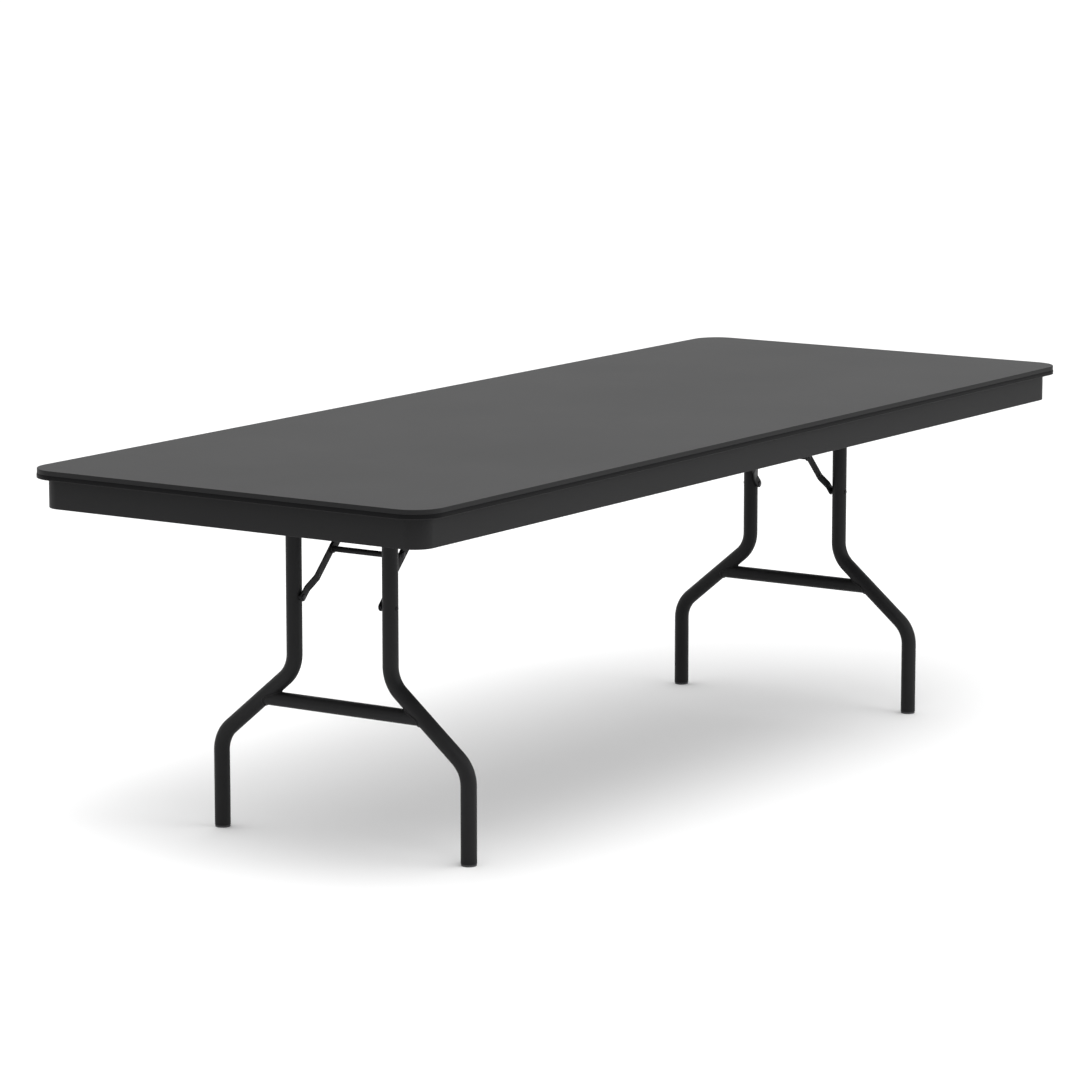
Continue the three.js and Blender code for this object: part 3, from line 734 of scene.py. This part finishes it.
PIN_HEAD_RADIUS = 6 * MM
PIN_HEAD_HEIGHT = 1.5 * MM
COLLAR_RADIUS = 7 * MM
STRAP_THICKNESS = 3 * MM
pin_low, pin_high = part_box("near_left_leg_pin")
pin_centre = middle("near_left_leg_pin")
arm_low, arm_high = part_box("near_left_lower_arm")
head_seat_y = pin_low.y + PIN_HEAD_HEIGHT
collar_inner, collar_outer = arm_high.y + FIT, upright_y - tube_radius - FIT
pin_profile = np.vstack([
    dome(PIN_HEAD_RADIUS, PIN_HEAD_HEIGHT, head_seat_y, -1)[::-1],
    [[PIN_RADIUS, head_seat_y], [PIN_RADIUS, collar_inner], [COLLAR_RADIUS, collar_inner]],
    [[COLLAR_RADIUS, collar_outer], [PIN_RADIUS, collar_outer], [PIN_RADIUS, pin_high.y - FIT]],
    dome(PIN_RADIUS - FIT, FIT, pin_high.y - FIT, 1),
])
for corner, end, turn, side in CORNERS:
    pin = set_in_place(end, turn, turned(pin_profile, (0, 0, pin_centre.z), "across", side))
    add_piece(f"{corner}_arm_rivet", [(pin, False)], blackened, f"{end}_leg_frame", "plated_steel",
              f"{corner}_leg_pin")

# --------------------------------
# Lower arms. Flat steel strap blanked with round ends and stepped towards the middle in a
# press, so that it lies beside the upper link at the elbow. Powder coated with the legs.
# --------------------------------

STRAP_WIDTH = 17 * MM
BLANKED_EDGE = 0.45 * MM
STEP_FROM = 20 * MM
STEP_TO = 47 * MM
END_STEPS = 12


def strap(length, width, thickness, corner, runs=40):
    """A flat strip as a grid of [along, across, through]. Its ends' corners are quarter circles:
    along is corner less (corner less inset) times cosine, and across is half the width less corner,
    plus (corner less inset) times sine. The edge's inset follows a small quarter circle."""
    quarter = np.radians(np.linspace(0, 90, 4))
    rising = BLANKED_EDGE * (1 - np.cos(quarter))
    falling = BLANKED_EDGE * (1 - np.sin(quarter))
    inset = np.concatenate([falling, rising])
    through = np.concatenate([rising, thickness - falling])
    lap = (np.arange(END_STEPS) + 0.5) / END_STEPS * np.pi / 2
    reach = corner - inset
    near_along = corner - reach * np.cos(lap)[:, None]
    half = width / 2 - corner + reach * np.sin(lap)[:, None]
    straight = np.linspace(corner, length - corner, runs)[:, None] + 0 * inset
    full = width / 2 - inset + 0 * straight
    along = np.vstack([near_along, straight, length - near_along[::-1]])
    across = np.vstack([half, full, half[::-1]])
    depth = np.broadcast_to(through, along.shape)
    return np.stack([
        np.hstack([along, along[:, ::-1]]),
        np.hstack([across, -across[:, ::-1]]),
        np.hstack([depth, depth[:, ::-1]]),
    ], 2)


elbow = middle("near_left_elbow_cap")
leg_plane_x = middle("near_pivot_tube").x
elbow_out = elbow.x - leg_plane_x
arm_vector = np.array([elbow_out, elbow.z - pin_centre.z])
arm_length = np.linalg.norm(arm_vector)
arm_heading = arm_vector / arm_length
arm_head_y = arm_low.y
arm_foot_y = arm_high.y - STRAP_THICKNESS


def laid_along(grid, origin, heading, tip):
    """A strip's along and across turned to run from an origin on a heading in the out-up plane; its
    first end centre lies a tip's length in from its end."""
    along, wide, through = np.moveaxis(grid, -1, 0)
    along = along - tip
    out = origin[0] + along * heading[0] - wide * heading[1]
    up = origin[1] + along * heading[1] + wide * heading[0]
    return np.stack([out, through, up], -1)


tip = STRAP_WIDTH / 2
flat_arm = strap(arm_length + 2 * tip, STRAP_WIDTH, STRAP_THICKNESS, tip, runs=90)
step_share = np.clip((flat_arm[..., 0] - tip - STEP_FROM) / (STEP_TO - STEP_FROM), 0, 1)
arm = laid_along(flat_arm, (0, pin_centre.z), arm_heading, tip)
arm[..., 1] += arm_foot_y + (arm_head_y - arm_foot_y) * step_share
for corner, end, turn, side in CORNERS:
    placed = set_in_place(end, turn, arm * [1, side, 1])
    add_piece(f"{corner}_stepped_arm", [(placed, False)], black_coat, f"{end}_lower_brace", "leg_paint",
              f"{corner}_lower_arm")

# --------------------------------
# Elbow caps, stop rivets and buttons. A domed cap nut closes each elbow outside the arm. A small
# rivet sits just past the step, and a low button near where the release bar crosses.
# --------------------------------

STOP_RIVET_AT = 54 * MM
STOP_RIVET_RADIUS = 2.5 * MM
STOP_HEAD_RADIUS = 3.5 * MM
STOP_HEAD_HEIGHT = 0.4 * MM
BUTTON_AT = np.array([119.5, 2]) * MM
BUTTON_RADIUS = 6.5 * MM
BUTTON_HEIGHT = 2.2 * MM
BUTTON_SUNK = 0.5 * MM
WASHER = 1.4 * MM
WASHER_EDGE = 0.3 * MM
CAP_INSET = 1.3 * MM
CAP_CORE = 1 * MM
cap_low, cap_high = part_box("near_left_elbow_cap")
cap_radius = (cap_high.x - cap_low.x) / 2
arm_outside = arm_head_y + STRAP_THICKNESS + FIT
washer_face = arm_outside + WASHER
cap_profile = np.vstack([
    [[CAP_CORE, arm_head_y], [PIN_RADIUS, arm_head_y], [PIN_RADIUS, arm_outside]],
    [[cap_radius - WASHER_EDGE, arm_outside], [cap_radius, arm_outside + WASHER_EDGE]],
    [[cap_radius, washer_face - WASHER_EDGE], [cap_radius - WASHER_EDGE, washer_face]],
    dome(cap_radius - CAP_INSET, cap_high.y - washer_face, washer_face, 1),
])
stop_profile = rivet(arm_head_y - FIT, arm_outside, STOP_HEAD_RADIUS, STOP_HEAD_HEIGHT, STOP_RIVET_RADIUS)
stop_place = np.array([0, pin_centre.z]) + STOP_RIVET_AT * arm_heading
arm_face = arm_head_y + STRAP_THICKNESS
button_profile = np.vstack([
    [[BUTTON_RADIUS - BUTTON_SUNK, arm_face - BUTTON_SUNK], [BUTTON_RADIUS, arm_face]],
    dome(BUTTON_RADIUS, BUTTON_HEIGHT, arm_face, 1)[1:],
])
across_arm = np.array([-arm_heading[1], arm_heading[0]])
button_place = np.array([0, pin_centre.z]) + BUTTON_AT[0] * arm_heading + BUTTON_AT[1] * across_arm
on_each_arm = (
    ("cap_nut", cap_profile, (elbow_out, elbow.z), ["elbow_cap"]),
    ("stop_stud", stop_profile, stop_place, ["stop_rivet"]),
    ("arm_button", button_profile, button_place, []),
)
for corner, end, turn, side in CORNERS:
    for name, profile, (out, up), nodes in on_each_arm:
        made = set_in_place(end, turn, turned(profile, (out, 0, up), "across", side))
        add_piece(f"{corner}_{name}", [(made, False)], blackened, f"{end}_lower_brace", "plated_steel",
                  *[f"{corner}_{node}" for node in nodes])

# --------------------------------
# Upper links and release bar. Two straight straps of the same strip hang from the top and run on
# past the elbow, where one round bar joins their tails, so both sides let go at one pull.
# --------------------------------

ELBOW_HEAD_RADIUS = 6.5 * MM
ELBOW_HEAD_SUNK = 0.5 * MM
BAR_EASE = 0.6 * MM
link_low, link_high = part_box("near_left_upper_link")
upper_pivot = middle("near_left_brace_pin")
link_vector = np.array([upper_pivot.x - elbow.x, upper_pivot.z - elbow.z])
link_length = np.linalg.norm(link_vector)
link_heading = link_vector / link_length
bar_centre = middle("near_release_bar")
bar_out = bar_centre.x - leg_plane_x
tail = math.hypot(bar_out - elbow_out, bar_centre.z - elbow.z)
link = strap(tail + link_length + 2 * tip, STRAP_WIDTH, STRAP_THICKNESS, tip)
link = laid_along(link, (bar_out, bar_centre.z), link_heading, tip)
link_inside = link_high.y - STRAP_THICKNESS
link[..., 1] += link_inside
elbow_head = dome(ELBOW_HEAD_RADIUS, link_inside - link_low.y, link_inside, -1)[::-1]
elbow_head = np.vstack([elbow_head, [[ELBOW_HEAD_RADIUS - ELBOW_HEAD_SUNK, link_inside + ELBOW_HEAD_SUNK]]])
elbow_head = turned(elbow_head, (elbow_out, 0, elbow.z), "across")
bar_low, bar_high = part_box("near_release_bar")
bar_radius = (bar_high.x - bar_low.x) / 2
shoulder = link_inside - FIT
half_bar = np.array([
    [bar_radius, shoulder - BAR_EASE],
    [bar_radius - BAR_EASE, shoulder],
    [PIN_RADIUS, shoulder],
    [PIN_RADIUS, bar_high.y - BAR_EASE / 2],
    [PIN_RADIUS - BAR_EASE / 2, bar_high.y],
])
bar_profile = np.vstack([half_bar[::-1] * [1, -1], half_bar])
for end, turn in LEG_SETS:
    body = f"{end}_upper_brace"
    bar = set_in_place(end, turn, turned(bar_profile, (bar_out, 0, bar_centre.z), "across"))
    add_piece(f"{end}_pull_bar", [(bar, False)], black_coat, body, "leg_paint", f"{end}_release_bar")
    for hand, side in HANDS:
        grids = [(set_in_place(end, turn, grid * [1, side, 1]), False) for grid in (link, elbow_head)]
        add_piece(f"{end}_{hand}_straight_link", grids, black_coat, body, "leg_paint",
                  f"{end}_{hand}_upper_link")

# --------------------------------
# Pivot brackets. Zinc-plated straps pressed round the cross tube, with a flange either side
# held to the pan by a screw. The tube turns in the pair of them.
# --------------------------------

BRACKET_STRAP = 2.5 * MM
BRACKET_CORNER = 4 * MM
FLANGE_BEND = 3 * MM
ZINC_DARK = (0.30, 0.30, 0.29)
ZINC_PALE = (0.52, 0.52, 0.50)
zinc = worn_metal("zinc_plated_steel", ZINC_DARK, ZINC_PALE, 0.3, 0.46)
bracket_low, bracket_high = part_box("near_left_pivot_bracket")
flange_reach = (bracket_high.x - bracket_low.x) / 2
bracket_width = bracket_high.y - bracket_low.y
bracket_middle = middle("near_left_pivot_bracket").y
saddle_radius = pivot_radius + FIT + BRACKET_STRAP / 2
flange_z = bracket_high.z - BRACKET_STRAP / 2
saddle_corners = [(-flange_reach, flange_z), (-saddle_radius, flange_z), (-saddle_radius, pivot_z)]
left_points, left_headings = bent_path(saddle_corners, FLANGE_BEND, 7)
bowl = np.linspace(np.pi, 2 * np.pi, 25)[1:-1]
bowl_points = np.stack([saddle_radius * np.cos(bowl), pivot_z + saddle_radius * np.sin(bowl)], 1)
bowl_headings = np.stack([-np.sin(bowl), np.cos(bowl)], 1)
saddle_points = np.vstack([left_points, bowl_points, left_points[::-1] * [-1, 1]])
saddle_headings = np.vstack([left_headings, bowl_headings, left_headings[::-1] * [1, -1]])


def pressed_to(points, headings, grid):
    """A strip bent to a path in the out-up plane: along is looked up as distance on the path, and
    through is measured on the path's normal, from its middle."""
    distance = np.concatenate([[0], np.cumsum(np.linalg.norm(np.diff(points, axis=0), axis=1))])
    along, wide, through = np.moveaxis(grid, -1, 0)
    out, up, heading_out, heading_up = (
        np.interp(along, distance, values) for values in (*points.T, *headings.T))
    through = through - BRACKET_STRAP / 2
    return np.stack([out - heading_up * through, wide, up + heading_out * through], -1)


saddle_length = np.linalg.norm(np.diff(saddle_points, axis=0), axis=1).sum()
saddle_strip = strap(saddle_length, bracket_width, BRACKET_STRAP, BRACKET_CORNER, runs=150)
bracket = pressed_to(saddle_points, saddle_headings, saddle_strip)
for corner, end, turn, side in CORNERS:
    placed = (bracket + [0, bracket_middle, 0]) * [1, side, 1]
    add_piece(f"{corner}_saddle_bracket", [(set_in_place(end, turn, placed), False)], zinc,
              "table_top", "plated_steel", f"{corner}_pivot_bracket")

# --------------------------------
# Screws. Pan-head screws with a cross recess, zinc plated, one through each bracket flange.
# --------------------------------

SCREW_RADIUS = 2.4 * MM
RECESS_ARM = 2.7 * MM
RECESS_HALF_WIDTH = 0.75 * MM
RECESS_DEPTH = 1.3 * MM
RECESS_EDGE = 0.25 * MM
HEAD_CROWN = 0.45
HEAD_RINGS = 22
HEAD_SIDES = 96
screw_low, screw_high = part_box("near_left_outer_screw")
screw_head = (screw_high.x - screw_low.x) / 2
head_seat = bracket_high.z - BRACKET_STRAP - FIT
head_height = head_seat - screw_low.z


def screw_head_surface(centre):
    """A pan head's face as [radius, angle]: height falls off as the fourth power of radius, and the
    cross is cut where the smaller of the two distances from its arms' centre lines is under half
    their width and the greater is within their reach."""
    radius = np.linspace(0.02, 1, HEAD_RINGS)[:, None] * screw_head
    cosine, sine = ring_of(HEAD_SIDES)
    out, across = radius * cosine, radius * sine
    drop = head_height * (1 - HEAD_CROWN * (radius / screw_head) ** 4) + 0 * out
    from_arm = np.minimum(abs(out), abs(across))
    along_arm = np.maximum(abs(out), abs(across))
    cut_wide = np.clip((RECESS_HALF_WIDTH - from_arm) / RECESS_EDGE + 0.5, 0, 1)
    cut_long = np.clip((RECESS_ARM - along_arm) / RECESS_EDGE + 0.5, 0, 1)
    face = np.stack([out, across, -drop + RECESS_DEPTH * cut_wide * cut_long], 2)
    rim = face[-1:] * [1, 1, 0]
    shank = rim * SCREW_RADIUS / screw_head
    tip_ring = shank + [0, 0, screw_high.z - head_seat]
    return np.concatenate([face, rim, shank, tip_ring]) + np.array(centre)


for corner, *_ in CORNERS:
    for place in ("outer", "inner"):
        spot = middle(f"{corner}_{place}_screw")
        screw = screw_head_surface((spot.x, spot.y, head_seat))
        add_piece(f"{corner}_{place}_pan_head", [(screw, False)], zinc, "table_top", "plated_steel",
                  f"{corner}_{place}_screw")

# --------------------------------
# Brace brackets. A plated base plate with two round-ended cheeks, which hold the upper link
# between them on a headed pin. Four flush rivets fix the base to the pan.
# --------------------------------

CHEEK_CORNER = 10 * MM
PLATE_CORNER = 2.5 * MM
LINK_SIDE_GAP = 0.6 * MM
RIVET_HEAD_RADIUS = 3.2 * MM
RIVET_HEAD_HEIGHT = 1.2 * MM
RIVET_SUNK = 0.5 * MM
RIVET_SPREAD = 8 * MM
RIVET_ROW_INSET = 5.5 * MM
BRACE_HEAD_HEIGHT = 2 * MM
hat_low, hat_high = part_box("near_left_brace_bracket")
hat_out = middle("near_left_brace_bracket").x - leg_plane_x
hat_length = hat_high.x - hat_low.x
cheek_gap = (link_inside - LINK_SIDE_GAP, link_high.y + LINK_SIDE_GAP)
base_plate = strap(hat_high.y - hat_low.y, hat_length, BRACKET_STRAP, PLATE_CORNER, runs=4)
base_plate = np.stack([
    hat_out + base_plate[..., 1], hat_low.y + base_plate[..., 0], hat_high.z - base_plate[..., 2]], 2)


def cheek(from_y):
    """A plate that hangs from the base, with its lower corners rounded about the pin."""
    plate = strap(hat_high.z - hat_low.z + CHEEK_CORNER, hat_length, BRACKET_STRAP, CHEEK_CORNER, runs=4)
    up = np.minimum(hat_low.z + plate[..., 0], hat_high.z - BRACKET_STRAP / 2)
    return np.stack([hat_out + plate[..., 1], from_y + plate[..., 2], up], 2)


rivet_profile = np.vstack([
    [[RIVET_HEAD_RADIUS * 0.5, RIVET_SUNK], [RIVET_HEAD_RADIUS, 0]],
    dome(RIVET_HEAD_RADIUS, RIVET_HEAD_HEIGHT, 0, -1)[1:],
])
flange_rows = (hat_low.y + RIVET_ROW_INSET, hat_high.y - RIVET_ROW_INSET)
brace_pin_low, brace_pin_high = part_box("near_left_brace_pin")
brace_head_radius = (brace_pin_high.x - brace_pin_low.x) / 2
brace_pin = turned(
    rivet(brace_pin_low.y + BRACE_HEAD_HEIGHT, brace_pin_high.y - BRACE_HEAD_HEIGHT,
          brace_head_radius, BRACE_HEAD_HEIGHT, PIN_RADIUS),
    (upper_pivot.x - leg_plane_x, 0, upper_pivot.z), "across")
for corner, end, turn, side in CORNERS:
    grids = [base_plate, cheek(cheek_gap[0] - BRACKET_STRAP), cheek(cheek_gap[1])]
    grids = [(set_in_place(end, turn, grid * [1, side, 1]), False) for grid in grids]
    add_piece(f"{corner}_cheek_bracket", grids, zinc, "table_top", "plated_steel",
              f"{corner}_brace_bracket")
    heads = []
    for row in flange_rows:
        for shift in (-RIVET_SPREAD, RIVET_SPREAD):
            spot = (hat_out + shift, side * row, hat_high.z - BRACKET_STRAP)
            heads.append((set_in_place(end, turn, turned(rivet_profile, spot, "up")), False))
    add_piece(f"{corner}_bracket_rivets", heads, zinc, "table_top", "plated_steel")
    pin = set_in_place(end, turn, brace_pin * [1, side, 1])
    add_piece(f"{corner}_link_pin", [(pin, False)], zinc, "table_top", "plated_steel",
              f"{corner}_brace_pin")

# --------------------------------
# Studio. A plain white floor that is seen only from above, a white surround that is brighter
# overhead and behind the table, and two soft lights: on the long side and above the near end.
# --------------------------------

FLOOR_HALF = 120
HORIZON_LIGHT = 0.6
OVERHEAD_LIGHT = 1.45
BEHIND = (0.84, 0.54, 0.0)
FRONT_SHARE, BEHIND_SHARE = 0.7, 1.4
PAPER_WHITE = 0.9
SIDE_WATTS = 115
ABOVE_WATTS = 120
floor_mesh = bpy.data.meshes.new("studio_floor")
floor_corners = [(x * FLOOR_HALF, y * FLOOR_HALF, 0) for x, y in ((-1, -1), (1, -1), (1, 1), (-1, 1))]
floor_mesh.from_pydata(floor_corners, [], [(0, 1, 2, 3)])
floor = bpy.data.objects.new("studio_floor", floor_mesh)
bpy.context.scene.collection.objects.link(floor)
paper = bpy.data.materials.new("white_paper")
paper.use_nodes = True
paper_shader = paper.node_tree.nodes["Principled BSDF"]
paper_shader.inputs["Base Color"].default_value = (PAPER_WHITE, PAPER_WHITE, PAPER_WHITE, 1)
paper_shader.inputs["Roughness"].default_value = 0.9
paper_shader.inputs["Specular IOR Level"].default_value = 0
see_through = paper.node_tree.nodes.new("ShaderNodeBsdfTransparent")
from_below = paper.node_tree.nodes.new("ShaderNodeNewGeometry").outputs["Backfacing"]
one_sided = paper.node_tree.nodes.new("ShaderNodeMixShader")
paper.node_tree.links.new(from_below, one_sided.inputs[0])
paper.node_tree.links.new(paper_shader.outputs["BSDF"], one_sided.inputs[1])
paper.node_tree.links.new(see_through.outputs["BSDF"], one_sided.inputs[2])
paper_output = paper.node_tree.nodes["Material Output"]
paper.node_tree.links.new(one_sided.outputs["Shader"], paper_output.inputs["Surface"])
floor_mesh.materials.append(paper)

surround = bpy.data.worlds.new("white_surround")
surround.use_nodes = True
sky = surround.node_tree
direction = sky.nodes.new("ShaderNodeTexCoord").outputs["Generated"]
rise = sky.nodes.new("ShaderNodeSeparateXYZ")
sky.links.new(direction, rise.inputs["Vector"])
facing = sky.nodes.new("ShaderNodeVectorMath")
facing.operation = "DOT_PRODUCT"
facing.inputs[1].default_value = BEHIND
sky.links.new(direction, facing.inputs[0])
brightness = combine(
    sky, "MULTIPLY",
    spread(sky, rise.outputs["Z"], 0.0, 1.0, HORIZON_LIGHT, OVERHEAD_LIGHT),
    spread(sky, facing.outputs["Value"], -1.0, 1.0, FRONT_SHARE, BEHIND_SHARE))
sky.links.new(brightness, sky.nodes["Background"].inputs["Strength"])
sky.nodes["Background"].inputs["Color"].default_value = (1, 1, 1, 1)
bpy.context.scene.world = surround
bpy.context.scene.view_settings.view_transform = "Standard"


def soft_light(name, place, aim, size, watts):
    """A rectangular softbox at a place, turned towards its aim."""
    lamp = bpy.data.lights.new(name, "AREA")
    lamp.shape = "RECTANGLE"
    lamp.size, lamp.size_y = size
    lamp.energy = watts
    holder = bpy.data.objects.new(name, lamp)
    holder.location = place
    holder.rotation_mode = "QUATERNION"
    holder.rotation_quaternion = (Vector(aim) - Vector(place)).to_track_quat("-Z", "Y")
    bpy.context.scene.collection.objects.link(holder)


soft_light("long_side_softbox", (1.5, -7.0, 3.2), (0, 0, 0.5), (5.0, 3.0), SIDE_WATTS)
soft_light("overhead_softbox", (-2.5, -1.6, 5.0), (0, 0, 0.4), (3.0, 3.0), ABOVE_WATTS)

# --------------------------------
# Camera. A long lens at the near end, to one side of it and looking down a little on the top.
# --------------------------------

LENS_LENGTH = 150
SENSOR_WIDTH = 36
CLEAR_TO = 500
STANDS_AT = Vector((-7.5868, -4.9589, 2.0067))
AIMED_AT = Vector((-0.03465, 0.08815, 0.46918))
camera_data = bpy.data.cameras.new("camera")
camera_data.lens = LENS_LENGTH
camera_data.sensor_width = SENSOR_WIDTH
camera_data.clip_end = CLEAR_TO
camera = bpy.data.objects.new("camera", camera_data)
camera.location = STANDS_AT
camera.rotation_mode = "QUATERNION"
camera.rotation_quaternion = (AIMED_AT - STANDS_AT).to_track_quat("-Z", "Y")
bpy.context.scene.collection.objects.link(camera)
bpy.context.scene.camera = camera
